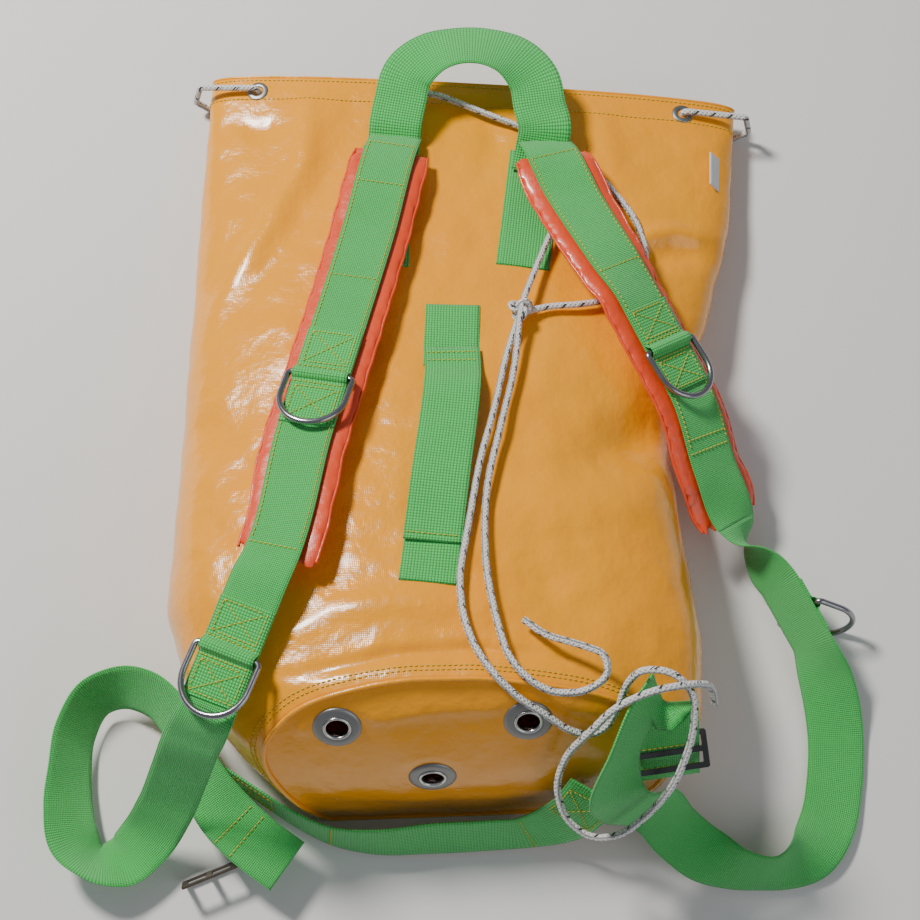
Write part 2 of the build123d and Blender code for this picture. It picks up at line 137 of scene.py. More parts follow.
def woven(name, colour, dark, pick):
    """Basket weave: raised picks changing direction cell to cell, painted shade between them, darker edges.
    """
    s = Shader(name, colour, 0.55, sheen=0.25)
    across, along = s.uv()
    u = s.math("DIVIDE", across, pick)
    v = s.math("DIVIDE", along, pick)
    fu, fv = s.math("FRACT", u), s.math("FRACT", v)
    turn = s.math("MODULO", s.math("ADD", s.math("FLOOR", u), s.math("FLOOR", v)), 2.0)
    turn = s.math("ABSOLUTE", turn)
    arch_u = s.math("SINE", s.math("MULTIPLY", fu, math.pi))
    arch_v = s.math("SINE", s.math("MULTIPLY", fv, math.pi))
    rise_u = s.math("ADD", s.math("MULTIPLY", arch_u, 0.6), 0.4)
    rise_v = s.math("ADD", s.math("MULTIPLY", arch_v, 0.6), 0.4)
    over = s.math("MULTIPLY", s.math("POWER", arch_u, 0.5), rise_v)
    under = s.math("MULTIPLY", s.math("POWER", arch_v, 0.5), rise_u)
    left = s.math("MULTIPLY", over, turn)
    right = s.math("MULTIPLY", under, s.math("SUBTRACT", 1.0, turn))
    cloth = s.math("ADD", left, right)
    strands = s.object_noise(900.0, 2.0)
    height = s.math("ADD", cloth, s.math("MULTIPLY", strands, 0.35))
    edge = s.math("GREATER_THAN", s.math("ABSOLUTE", across), 0.0232)
    # painted shade: the colour darkens where the weave lies low between the raised picks
    shade = s.math("MULTIPLY", s.math("SUBTRACT", 1.0, cloth), 0.75)
    # the outermost strip along each edge of the webbing is darkened as well
    shade = s.math("ADD", shade, s.math("MULTIPLY", edge, 0.18))
    wear = s.math("MULTIPLY", s.object_noise(22.0), 0.22)
    s.colour(s.mix(s.math("MINIMUM", s.math("ADD", shade, wear), 1.0), colour, dark))
    s.bump(height, 0.0009)
    return s.material


def braided(name):
    """White braid with dark flecks at every turn and painted shade between the strands."""
    s = Shader(name, (0.72, 0.72, 0.69), 0.6, sheen=0.3)
    around, along = s.uv()
    turns = s.math("MULTIPLY", around, 8 * math.pi)
    advance = s.math("MULTIPLY", along, STRAND_WAVE)
    right = s.math("SINE", s.math("ADD", turns, advance))
    left = s.math("SINE", s.math("SUBTRACT", turns, advance))
    height = s.math("MAXIMUM", right, left)
    place = s.math("FRACT", s.math("ADD", s.math("DIVIDE", along, 0.0172), around))
    band = s.math("LESS_THAN", place, 0.27)
    side = s.math("LESS_THAN", s.math("FRACT", s.math("MULTIPLY", around, 2.0)), 0.55)
    fleck = s.math("MULTIPLY", s.math("MULTIPLY", band, side), s.math("GREATER_THAN", right, -0.4))
    # painted shade: the colour darkens in the grooves between the raised strands
    shade = s.math("MULTIPLY", s.math("SUBTRACT", 1.0, height), 0.3)
    pale = s.mix(shade, (0.78, 0.78, 0.75), (0.34, 0.34, 0.33))
    s.colour(s.mix(fleck, pale, (0.012, 0.012, 0.014)))
    s.bump(height, 0.0005)
    return s.material


def worn_metal(name, colour, roughness, scratch):
    s = Shader(name, colour, roughness, metallic=1.0)
    grain = s.object_noise(160.0, 5.0)
    s.rough(s.math("ADD", s.math("MULTIPLY", grain, scratch), roughness))
    s.bump(grain, 0.0001)
    return s.material


yellow = coated_cloth("yellow coated cloth", (0.91, 0.37, 0.0), (0.84, 0.27, 0.0), 0.24, 0.0016)
red = coated_cloth("orange-red pad cloth", (0.80, 0.075, 0.014), (0.56, 0.035, 0.008), 0.40, 0.0014)
green = woven("green basket webbing", (0.060, 0.68, 0.115), (0.010, 0.24, 0.030), 0.0026)
green_fine = woven("green shoulder webbing", (0.068, 0.70, 0.125), (0.014, 0.30, 0.040), 0.0017)
braid = braided("white braid")
steel = worn_metal("polished dark steel", (0.34, 0.34, 0.36), 0.16, 0.14)
nickel = worn_metal("dull nickel", (0.30, 0.31, 0.31), 0.34, 0.2)
bright_rim = worn_metal("bright rim", (0.62, 0.62, 0.6), 0.2, 0.12)
brown_steel = worn_metal("dark brown steel", (0.17, 0.13, 0.10), 0.34, 0.2)
washer_grey = Shader("dark grey washer", (0.25, 0.25, 0.245), 0.40, metallic=0.8).material
black_paint = Shader("black paint", (0.012, 0.012, 0.013), 0.34, coat=0.3).material
thread = Shader("ochre thread", (0.62, 0.47, 0.03), 0.6).material
white_thread = Shader("white thread", (0.62, 0.62, 0.6), 0.6).material
label_shader = Shader("pale label", (0.66, 0.67, 0.66), 0.55)
label_shader.bump(label_shader.object_noise(1400.0, 1.0), 0.0002)
label_cloth = label_shader.material


# Mesh helpers ---------------------------------------------------------------------------------
def build(name, points, faces, material, uv=None, body=None, slot=None):
    mesh = bpy.data.meshes.new(name)
    mesh.from_pydata([tuple(p) for p in points], [], [tuple(int(i) for i in f) for f in faces])
    if uv is not None:
        layer = mesh.uv_layers.new(name="UVMap")
        corners = np.zeros(len(mesh.loops), np.int32)
        mesh.loops.foreach_get("vertex_index", corners)
        layer.data.foreach_set("uv", np.asarray(uv, np.float32)[corners].ravel())
    mesh.polygons.foreach_set("use_smooth", [True] * len(mesh.polygons))
    mesh.materials.append(material)
    obj = bpy.data.objects.new(name, mesh)
    bpy.context.scene.collection.objects.link(obj)
    if body:
        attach(obj, body)
    return obj


def outward(obj):
    """Turns every face of a closed mesh outwards."""
    work = bmesh.new()
    work.from_mesh(obj.data)
    bmesh.ops.recalc_face_normals(work, faces=work.faces)
    work.to_mesh(obj.data)
    work.free()


def unit(v):
    return v / np.maximum(np.linalg.norm(v, axis=-1, keepdims=True), 1e-12)


def flow(rows, gap):
    """A smooth curve through rows of numbers, whose first three are a place, every gap metres."""
    p = np.array(rows, float)
    reach = np.linalg.norm(np.diff(p[:, :3], axis=0), axis=1)
    t = np.concatenate([[0], np.cumsum(reach)])
    slope = np.diff(p, axis=0) / reach[:, None]
    m = np.vstack([slope[:1], np.zeros((len(p) - 2, p.shape[1])), slope[-1:]])
    share = (reach[:-1] / (reach[:-1] + reach[1:]))[:, None]
    m[1:-1] = slope[:-1] * (1 - share) + slope[1:] * share
    out = []
    for i, length in enumerate(reach):
        for h in np.arange(0, 1, 1 / max(2, int(round(length / gap)))):
            a, b = 2 * h**3 - 3 * h**2 + 1, h**3 - 2 * h**2 + h
            c, d = -2 * h**3 + 3 * h**2, h**3 - h**2
            out.append(a * p[i] + b * length * m[i] + c * p[i + 1] + d * length * m[i + 1])
    return np.array(out + [p[-1]])


class Path:
    """The line of a flat strap: places, the direction across it and off its face."""

    def __init__(self, stations, runs=(), gap=3.0):
        rows = []
        for i, (place, across) in enumerate(stations):
            rows.append(np.array([*place, *across], float))
            if i in runs:
                after = np.array([*stations[i + 1][0], *stations[i + 1][1]], float)
                rows += [rows[-1] * (1 - h) + after * h for h in (0.1, 0.5, 0.9)]
        line = flow(rows, gap)
        self.centre = line[:, :3] * MM
        tangent = unit(np.gradient(self.centre, axis=0))
        across = unit(line[:, 3:])
        across = unit(across - tangent * (across * tangent).sum(1)[:, None])
        self.along_dir, self.across, self.face = tangent, across, np.cross(tangent, across)
        steps = np.linalg.norm(np.diff(self.centre, axis=0), axis=1)
        self.s = np.concatenate([[0], np.cumsum(steps)])

    def near(self, place):
        """The distance along the strap that is nearest to a place, in metres."""
        gaps = np.linalg.norm(self.centre - np.array(place, float) * MM, axis=1)
        return self.s[int(gaps.argmin())]

    def at(self, s, u, h):
        s = np.asarray(s, float)
        parts = [
            np.stack([np.interp(s, self.s, table[:, k]) for k in range(3)], -1)
            for table in (self.centre, self.across, self.face)
        ]
        u, h = np.asarray(u)[..., None], np.asarray(h)[..., None]
        return parts[0] + unit(parts[1]) * u + unit(parts[2]) * h

    def off(self, s):
        return unit(np.stack([np.interp(s, self.s, self.face[:, k]) for k in range(3)], -1))


def quads(rows, n):
    """Faces between rings of n points that follow each other."""
    return [
        (r * n + k, r * n + (k + 1) % n, (r + 1) * n + (k + 1) % n, (r + 1) * n + k)
        for r in range(rows)
        for k in range(n)
    ]


def closed_strip(name, rings, uv, material, **kwargs):
    """A closed solid through rings of the same number of points, capped at both ends."""
    n = len(rings[0])
    points = np.concatenate(rings)
    faces = quads(len(rings) - 1, n)
    faces.append(tuple(range(n))[::-1])
    faces.append(tuple(range((len(rings) - 1) * n, len(rings) * n)))
    obj = build(name, points, faces, material, uv=np.concatenate(uv), **kwargs)
    outward(obj)
    return obj


def band(name, path, material, low=0.0, high=2.0, width=50.0, start=0.0, end=None, lift=None, **kwargs):
    """Webbing with rounded edges from low to high off the strap's line, in millimetres.

    lift(distance) gives another (low, high) there, in millimetres.
    """
    end = path.s[-1] if end is None else end
    inside = path.s[(path.s > start + 1e-4) & (path.s < end - 1e-4)]
    if lift is not None:
        inside = np.unique(np.concatenate([inside, np.arange(start + 0.0008, end, 0.0008)]))
    half, n = width / 2 * MM, 11
    columns = np.linspace(-half + 0.0006, half - 0.0006, n)
    rings, uvs = [], []
    for s in np.concatenate([[start], inside, [end]]):
        lo, hi = (low, high) if lift is None else lift(s)
        lo, hi = lo * MM, hi * MM
        mid = (lo + hi) / 2
        u = np.concatenate([columns, [half], columns[::-1], [-half]])
        h = np.concatenate([np.full(n, hi), [mid], np.full(n, lo), [mid]])
        rings.append(path.at(np.full(len(u), s), u, h))
        uvs.append(np.stack([u, np.full(len(u), s)], 1))
    return closed_strip(name, rings, uvs, material, **kwargs)


def stitches(name, seams, material=None, length=3.4, space=1.1, thick=0.58, **kwargs):
    """Thread that lies in short stitches. A seam is (places, directions off the face) in metres."""
    points, faces = [], []
    for places, offs in seams:
        steps = np.linalg.norm(np.diff(places, axis=0), axis=1)
        s = np.concatenate([[0], np.cumsum(steps)])
        pitch = (length + space) * MM
        for k in range(int(s[-1] / pitch)):
            base = len(points)
            spots = k * pitch + np.array([0.0, 0.18, 0.5, 0.82, 1.0]) * length * MM
            p = np.stack([np.interp(spots, s, places[:, i]) for i in range(3)], 1)
            o = unit(np.stack([np.interp(spots, s, offs[:, i]) for i in range(3)], 1))
            side = unit(np.cross(p[-1] - p[0], o[2]))
            for j, swell in enumerate((0.2, 0.85, 1.0, 0.85, 0.2)):
                r = thick * MM * swell
                up = o[j] * (r * 1.1 + (swell - 0.75) * 0.5 * MM * thick)
                for way in (side, o[j], -side, -o[j]):
                    points.append(p[j] + up + way * r)
            for j in range(4):
                for c in range(4):
                    a, b = base + 4 * j + c, base + 4 * j + (c + 1) % 4
                    faces.append((a, b, b + 4, a + 4))
            faces.append((base, base + 3, base + 2, base + 1))
            faces.append(tuple(base + 16 + c for c in range(4)))
    return build(name, points, faces, material or thread, **kwargs)


def seam_on(path, s0, u0, s1, u1, height):
    """A straight row of thread on a strap from one place to another."""
    n = 24
    s, u = np.linspace(s0, s1, n), np.linspace(u0, u1, n) * MM
    return path.at(s, u, np.full(n, height * MM)), path.off(s)


def box_x(path, s0, s1, height, half=20.0):
    """The usual box with a cross in it."""
    corners = [(s0, -half), (s0, half), (s1, half), (s1, -half), (s0, -half)]
    rows = [(*a, *b) for a, b in zip(corners, corners[1:])]
    rows += [(s0, -half, s1, half), (s1, -half, s0, half)]
    return [seam_on(path, *row, height) for row in rows]


def row_across(path, s, height, half=23.0):
    return [seam_on(path, s, -half, s, half, height)]


def tube(name, line, radius, sides, material, relief=0.0, closed=False, **kwargs):
    """A round tube along a line of places. relief raises the strands of a braid."""
    p = np.asarray(line, float)
    tangent = unit(np.gradient(p, axis=0))
    if closed:
        tangent = unit(np.roll(p, -1, 0) - np.roll(p, 1, 0))
    side = unit(np.cross(tangent[0], [0.3, 0.2, 1.0]))
    s = np.concatenate([[0], np.cumsum(np.linalg.norm(np.diff(p, axis=0), axis=1))])
    angle = np.arange(sides) * 2 * math.pi / sides
    rings, uvs = [], []
    for i in range(len(p)):
        side = unit(side - tangent[i] * (side @ tangent[i]))
        other = np.cross(tangent[i], side)
        wave = s[i] * STRAND_WAVE
        r = radius * (1 + relief * np.sin(2 * angle + wave) * np.sin(2 * angle - wave))
        rings.append(p[i] + np.outer(np.cos(angle) * r, side) + np.outer(np.sin(angle) * r, other))
        uvs.append(np.stack([angle / (2 * math.pi), np.full(sides, s[i])], 1))
    if not closed:
        return closed_strip(name, rings, uvs, material, **kwargs)
    n, m = sides, len(rings)
    faces = [
        (r * n + k, r * n + (k + 1) % n, (r + 1) % m * n + (k + 1) % n, (r + 1) % m * n + k)
        for r in range(m)
        for k in range(n)
    ]
    obj = build(name, np.concatenate(rings), faces, material, uv=np.concatenate(uvs), **kwargs)
    outward(obj)
    return obj


def rounded(points, radii=None, gap=1.5):
    """Straight runs joined by arcs, sampled every gap millimetres, in metres."""
    c = np.array(points, float)
    line = [c[0]]
    for i in range(1, len(c) - 1):
        back, ahead = c[i - 1] - c[i], c[i + 1] - c[i]
        a, b = unit(back), unit(ahead)
        turn = math.pi - math.acos(float(np.clip(a @ b, -1, 1)))
        if radii is None:
            reach = 0.45 * min(np.linalg.norm(back), np.linalg.norm(ahead))
        else:
            reach = radii * math.tan(turn / 2)
        radius = reach / math.tan(turn / 2)
        middle = c[i] + unit(a + b) * radius / math.cos(turn / 2)
        first, last = c[i] + a * reach - middle, c[i] + b * reach - middle
        for h in np.linspace(0, 1, max(3, int(radius * turn / gap))):
            swept = math.sin((1 - h) * turn) * first + math.sin(h * turn) * last
            line.append(middle + swept / math.sin(turn))
    line.append(c[-1])
    dense = [np.array(line[0])]
    for a, b in zip(line, line[1:]):
        n = max(1, int(round(np.linalg.norm(b - a) / gap)))
        dense += [a + (b - a) * (k + 1) / n for k in range(n)]
    return np.array(dense) * MM


def lathe(name, profile, place, axis, material, sides=48, **kwargs):
    """A turned ring. The profile is (radius, height) in millimetres, from outside to inside."""
    axis = unit(np.array(axis, float))
    side = unit(np.cross(axis, [1.0, 0.2, 0.1]))
    other = np.cross(axis, side)
    points, faces = [], []
    for k in range(sides):
        a = 2 * math.pi * k / sides
        way = side * math.cos(a) + other * math.sin(a)
        points += [np.array(place) + way * r * MM + axis * h * MM for r, h in profile]
    n = len(profile)
    for k in range(sides):
        for j in range(n):
            a, b = k * n + j, (k + 1) % sides * n + j
            c, d = (k + 1) % sides * n + (j + 1) % n, k * n + (j + 1) % n
            faces.append((a, b, c, d))
    obj = build(name, points, faces, material, **kwargs)
    outward(obj)
    return obj


# Bag shell ------------------------------------------------------------------------------------
bag_sections = [
    (352, -257, 262, 10, 52), (290, -255, 260, 6, 62), (220, -253, 258, 0, 76),
    (110, -248, 236, 0, 100), (15, -243, 202, 0, 124), (-90, -238, 214, 0, 150),
    (-200, -235, 236, 0, 176), (-270, -208, 236, 0, 188), (-320, -160, 205, 0, 182),
    (-350, -118, 160, 0, 176), (-380, -60, 100, 0, 170),
]
half_outline = [(0.4, 0), (0.84, 0), (1, 0.38), (0.92, 0.70), (0.66, 0.90), (0.30, 0.99)]
base_centre = np.array([35.0, -107.0, 5.0])
base_radius, base_yaw = 240.0, math.radians(5.5)
base_out = np.array([math.sin(base_yaw), -math.cos(base_yaw), 0])
base_side = np.array([-math.cos(base_yaw), -math.sin(base_yaw), 0])
mouth_y, hem_y = 352.0, 326.0

table = np.array(bag_sections, float)
fine_y = np.linspace(-380, 352, 200)
order = table[::-1]
kernel = np.exp(-np.linspace(-2, 2, 15) ** 2)
kernel /= kernel.sum()
smooth_table = []
for column in range(1, 5):
    raw = np.interp(fine_y, order[:, 0], order[:, column])
    padded_raw = np.concatenate([np.full(7, raw[0]), raw, np.full(7, raw[-1])])
    smooth_table.append(np.convolve(padded_raw, kernel, "valid"))

loop = half_outline + [(-a, h) for a, h in half_outline[::-1]]
loop_rows = [(a, h, 0) for a, h in loop[-2:] + loop + loop[:2]]
ring_shape = flow([(a, h, 0) for a, h, _ in loop_rows], 0.02)
first = int(np.abs(ring_shape[:, :2] - np.array(loop[0])).sum(1)[: len(ring_shape) // 3].argmin())
last = len(ring_shape) - 1 - int(
    np.abs(ring_shape[::-1, :2] - np.array(loop[0])).sum(1)[: len(ring_shape) // 3].argmin()
)
ring_shape = np.clip(ring_shape[first:last, :2], [-1.02, 0], [1.02, 1.01])


def bag_point(shape, y, shrink=0.0):
    left, right, low, high = [np.interp(y, fine_y, column) for column in smooth_table]
    half = (right - left) / 2 - shrink
    x = (left + right) / 2 + shape[..., 0] * half
    z = low + shrink + shape[..., 1] * (high - low - 2 * shrink)
    return np.stack([x, y + 0 * x, z], -1)


def past_base(p):
    reach = (p - base_centre) @ base_out
    rise = np.clip(base_radius**2 - (p[..., 2] - base_centre[2]) ** 2, 0, None)
    return reach - np.sqrt(rise)


low_y, high_y = np.full(len(ring_shape), -379.0), np.full(len(ring_shape), 0.0)
for _ in range(40):
    middle_y = (low_y + high_y) / 2
    beyond = past_base(bag_point(ring_shape, middle_y)) > 0
    low_y = np.where(beyond, middle_y, low_y)
    high_y = np.where(beyond, high_y, middle_y)
end_y = (low_y + high_y) / 2


def from_line(x, y, line):
    """Distance from a line in the plan, with how far along it the nearest place is."""
    best = np.full(x.shape, 1e9)
    share = np.zeros(x.shape)
    count = len(line) - 1
    for i, (a, b) in enumerate(zip(line, line[1:])):
        dx, dy = b[0] - a[0], b[1] - a[1]
        h = np.clip(((x - a[0]) * dx + (y - a[1]) * dy) / (dx * dx + dy * dy), 0, 1)
        d = np.hypot(x - a[0] - h * dx, y - a[1] - h * dy)
        share = np.where(d < best, (i + h) / count, share)
        best = np.minimum(best, d)
    return best, share


# Folds and dents of the harness side: line in the plan, height and half width
folds = [
    ([(-158, 330), (-155, 252), (-184, 173), (-222, 84)], 6.5, 13),
    ([(-120, 325), (-124, 250), (-150, 180), (-190, 95)], -3.5, 16),
    ([(150, 176), (172, 187), (200, 198), (250, 201)], 7.0, 10),
    ([(150, 150), (180, 165), (215, 176), (250, 178)], -5.5, 13),
    ([(215, 120), (200, 60), (178, 5), (165, -25)], -4.5, 18),
    ([(120, -62), (160, -30), (196, -12), (215, -8)], -12.0, 24),
    ([(70, -110), (110, -95), (160, -92), (214, -80)], 5.5, 22),
    ([(-112, -268), (-60, -256), (-26, -246), (40, -238), (110, -240)], -4.5, 6),
    ([(-110, -232), (-80, -212), (-55, -205), (-12, -199), (40, -204)], 4.5, 13),
    ([(-40, 320), (-34, 280), (-38, 240)], 3.0, 12),
    ([(20, 322), (26, 286), (18, 250)], -3.0, 12),
    ([(130, 326), (138, 290), (150, 250)], 3.5, 12),
    ([(-230, 300), (-205, 290), (-180, 296)], -3.0, 10),
    ([(-232, -20), (-190, -60), (-150, -110)], -4.0, 20),
    ([(-236, -120), (-200, -160), (-190, -210)], 4.0, 18),
    ([(60, -150), (110, -190), (170, -215)], -4.0, 18),
    ([(205, -110), (228, -160), (232, -215)], 4.5, 14),
]


def dress(p):
    """Moves a place on the shell, in millimetres, by its folds and its small rumples."""
    x, y, z = p[..., 0], p[..., 1], p[..., 2]
    high = np.interp(y, fine_y, smooth_table[3])
    top = np.clip((z / np.maximum(high, 1) - 0.35) / 0.4, 0, 1)
    calm = np.clip((mouth_y - 4 - y) / 30, 0, 1) * np.clip(-past_base(p) / 16, 0, 1)
    shift = np.zeros(x.shape)
    for line, height, spread in folds:
        d, share = from_line(x, y, line)
        shift += height * np.exp(-((d / spread) ** 2)) * np.sin(np.pi * np.clip(share, 0.06, 0.94)) ** 0.6
    out = p.copy()
    ripple = np.array([
        1.9 * noise.noise(Vector(q) * 0.014) + 0.9 * noise.noise(Vector(q) * 0.038 + Vector((5, 1, 9)))
        for q in p.reshape(-1, 3)
    ]).reshape(x.shape)
    out[..., 2] += (shift + 1.6 * ripple) * top * calm
    side = 1 - top
    centre = (np.interp(y, fine_y, smooth_table[0]) + np.interp(y, fine_y, smooth_table[1])) / 2
    out[..., 0] += np.sign(x - centre) * 1.6 * ripple * side * calm * (z > 12)
    return out


rows = 230
shares = np.linspace(0, 1, rows)
shell = np.stack([
    dress(bag_point(ring_shape, mouth_y + (end_y - mouth_y) * h)) for h in shares
])
count = len(ring_shape)
grid_faces = quads(rows - 1, count)


def applied(obj):
    """The mesh of an object with its modifiers applied."""
    return bpy.data.meshes.new_from_object(obj.evaluated_get(bpy.context.evaluated_depsgraph_get()))


def thicken(obj, thickness):
    """Gives a single skin its thickness inwards."""
    wall = obj.modifiers.new("wall", "SOLIDIFY")
    wall.thickness = thickness * MM
    wall.offset = -1
    solid = applied(obj)
    obj.modifiers.remove(wall)
    obj.data = solid


def skin(name, points, faces, thickness, **kwargs):
    obj = build(name, points.reshape(-1, 3) * MM, faces, yellow, slot=CLOTH, **kwargs)
    outward(obj)
    middle = np.array([0, -40, 60]) * MM
    sample = obj.data.polygons[len(obj.data.polygons) // 2]
    if sample.normal.dot(sample.center - Vector(middle)) < 0:
        obj.data.flip_normals()
    thicken(obj, thickness)
    return obj


shell_tree = BVHTree.FromPolygons([Vector(p) for p in shell.reshape(-1, 3) * MM], grid_faces)
bag_skin = skin("bag_skin", shell, grid_faces, 1.2, body="bag")
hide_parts("harness_panel", "back_panel")


def top(x, y):
    """Height of the harness side above a place, in millimetres."""
    hit = shell_tree.ray_cast(Vector((x * MM, y * MM, 0.5)), Vector((0, 0, -1)))[0]
    return hit.z / MM if hit else 0.0


# Base -----------------------------------------------------------------------------------------
edge = shell[-1]
aside = (edge - base_centre) @ base_side
level = edge[:, 2]
middle_aside, middle_level = float(aside.mean()), 78.0


def on_base(a, z, off=0.0):
    """A place on the base's curve, in millimetres, off its face by off."""
    r = base_radius + off
    angle = np.arcsin(np.clip((z - base_centre[2]) / base_radius, -1, 1))
    out = r * np.cos(angle)
    return base_centre[:2] @ np.eye(2, 3) + np.multiply.outer(out, base_out) + np.multiply.outer(
        a, base_side
    ) + np.multiply.outer(base_centre[2] + r * np.sin(angle), np.array([0, 0, 1.0]))


drain_places = [(39.2, 124), (39.2, -32), (23.2, 48)]


def base_ripple(a, z, share):
    near = 1 - share
    d1, _ = from_line(a, z, [(150, 158), (60, 168), (-40, 170), (-120, 160)])
    d2, _ = from_line(a, z, [(160, 60), (90, 40), (0, 34), (-100, 44)])
    d3, _ = from_line(a, z, [(70, 120), (20, 100), (-30, 112)])
    small = np.array([noise.noise(Vector((x * 0.02, y * 0.02, 3))) for x, y in zip(a, z)])
    flat = np.ones(a.shape)
    for angle, across in drain_places:
        height = base_centre[2] + base_radius * math.sin(math.radians(angle))
        flat *= 1 - np.exp(-((np.hypot(a - across, (z - height) * 1.2) / 27) ** 6))
    return (
        3.0 * np.exp(-((d1 / 7) ** 2)) - 2.2 * np.exp(-((d2 / 16) ** 2))
        + 1.6 * np.exp(-((d3 / 22) ** 2)) + 1.5 * small
    ) * np.clip(near * 14, 0, 1) * flat


base_rings = 60
base_points = []
for share in np.linspace(1, 0, base_rings)[:-1]:
    a = middle_aside + (aside - middle_aside) * share
    z = middle_level + (level - middle_level) * share
    base_points.append(on_base(a, z) + base_out * base_ripple(a, z, share)[:, None])
base_points.append(on_base(np.array([middle_aside]), np.array([middle_level])))
base_points = np.concatenate(base_points)
base_faces = quads(base_rings - 2, count)
tip = len(base_points) - 1
inner_ring = (base_rings - 2) * count
base_faces += [(inner_ring + k, inner_ring + (k + 1) % count, tip) for k in range(count)]
base_skin = skin("base_skin", base_points, base_faces, 2.2, body="bag")
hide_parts("base_panel")

welt_line = edge * MM + base_out * 0.0008
tube("base_seam_welt", welt_line, 0.0021, 8, yellow, closed=True, slot=CLOTH, body="bag")
upper = np.where(level > 20)[0]


def shell_row(distance, picks=None):
    """A line round the shell at a distance from the base's edge, with directions off it."""
    y = end_y + distance
    p = dress(bag_point(ring_shape, y))
    around = np.roll(p, -1, 0) - np.roll(p, 1, 0)
    ahead = dress(bag_point(ring_shape, y + 2)) - p
    off = unit(np.cross(ahead, around))
    centre = p.mean(0)
    off *= np.sign(((p - centre) * off).sum(1))[:, None]
    if picks is None:
        picks = np.arange(len(p))
    return p[picks] * MM, off[picks]


stitches("base_seam_stitches", [shell_row(7.0, upper), shell_row(10.5, upper)], slot="webbing", body="bag")

# The drain eyelets
def drain_at(angle, across):
    """The middle of a drain eyelet on the base, in metres, and the direction it faces."""
    way = base_out * math.cos(math.radians(angle)) + np.array([0, 0, math.sin(math.radians(angle))])
    return (base_centre + way * base_radius + base_side * across) * MM, way


for name, spot in zip(("left", "right", "low"), drain_places):
    place, way = drain_at(*spot)
    flange = [(20.2, -2.4), (20.2, 0.4), (19.2, 1.4), (17, 2.0), (13.5, 2.3), (10.6, 2.2), (10.2, -3.4)]
    lathe(f"drain_{name}_flange", flange, place, way, washer_grey, slot="eyelet_metal", body="bag")
    rim = [
        (11.9, 1.9), (11.7, 2.9), (10.9, 3.4), (10.0, 3.3), (9.2, 2.5), (9.0, 1.0),
        (9.0, -3.6), (10.0, -3.6), (10.3, 1.4),
    ]
    ring = lathe(f"drain_{name}_rim", rim, place, way, bright_rim, slot="eyelet_metal", body="bag")
    inner = [(20, -2.5), (20, -3.9), (10.5, -4.1), (10.1, -2.5)]
    lathe(f"drain_{name}_washer", inner, place, way, nickel, slot="eyelet_metal", body="bag")
    if name == "left":
        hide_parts("drain_eyelets", "drain_washers")

# Holes through the base for the eyelets
for spot in drain_places:
    place, way = drain_at(*spot)
    bpy.ops.mesh.primitive_cylinder_add(radius=0.0100, depth=0.03, vertices=48, location=place)
    cutter = bpy.context.object
    cutter.rotation_euler = Vector(way).to_track_quat("Z", "Y").to_euler()
    cut = base_skin.modifiers.new("hole", "BOOLEAN")
    cut.operation = "DIFFERENCE"
    cut.object = cutter
    cut.solver = "EXACT"
    bpy.context.view_layer.update()
    drilled = applied(base_skin)
    base_skin.modifiers.remove(cut)
    base_skin.data = drilled
    bpy.data.objects.remove(cutter)

# Mouth: hem, its stitches and the eyelets ------------------------------------------------------
hem_rows = []
hem_lines = ((hem_y, 1.4), (hem_y + 8, 1.4), (hem_y + 16, 1.4), (mouth_y - 1, 1.4), (mouth_y + 0.8, 0.4))
for y, shrink in hem_lines:
    hem_rows.append(bag_point(ring_shape, np.full(count, y), shrink))
hem = np.stack(hem_rows)
hem_faces = quads(len(hem) - 1, count)
hem_skin = skin("hem_skin", hem, hem_faces, 1.1, body="bag")
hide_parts("mouth_hem")
lip = bag_point(ring_shape, np.full(count, mouth_y), 0.6)
tube("mouth_lip", lip * MM, 0.0013, 8, yellow, closed=True, slot=CLOTH, body="bag")


def hem_row(y):
    p = dress(bag_point(ring_shape, np.full(count, y)))
    around = np.roll(p, -1, 0) - np.roll(p, 1, 0)
    off = unit(np.cross(np.array([0, 1.0, 0]), around))
    off *= np.sign(((p - p.mean(0)) * off).sum(1))[:, None]
    return p * MM, off


stitches("hem_stitches", [hem_row(hem_y), hem_row(hem_y + 22)], slot="webbing", body="bag")

eyelet_y = 335.0
small_eyelet = [
    (10.5, -0.2), (10.4, 0.5), (9.4, 1.1), (7.4, 1.5), (6.0, 1.5), (5.1, 0.8), (5.0, -3.2),
    (6.0, -3.2), (6.2, -0.2),
]
for index, x in enumerate((-209, -55, 69, 209)):
    for side, start, way in (("top", 0.3, -1), ("under", -0.3, 1)):
        hit, normal, _, _ = shell_tree.ray_cast(Vector((x * MM, eyelet_y * MM, start)), Vector((0, 0, way)))
        normal = np.array(normal)
        if normal[2] * way > 0:
            normal = -normal
        name = f"mouth_eyelet_{side}_{index + 1}"
        made = lathe(name, small_eyelet, np.array(hit), normal, nickel, 36, slot="eyelet_metal", body="bag")
        if index == 0 and side == "top":
            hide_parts("mouth_eyelets", "mouth_washers")


# Pieces sewn flat on the harness side ------------------------------------------------------------
def patch_path(place, length, turn, base=0.0):
    """A strap's line lying on the bag, from the base's end to the mouth's end."""
    stations = []
    lean = math.radians(turn)
    for h in np.linspace(-0.5, 0.5, 9):
        x = place[0] - math.sin(lean) * length * h
        y = place[1] + math.cos(lean) * length * h
        dx = 20 * math.cos(lean)
        dy = 20 * math.sin(lean)
        z = max(top(x, y), (top(x - dx, y - dy) + top(x + dx, y + dy)) / 2)
        tilt = (top(x + dx, y + dy) - top(x - dx, y - dy)) / 2
        stations.append(((x, y, z + base), (dx, dy, tilt)))
    return Path(stations)


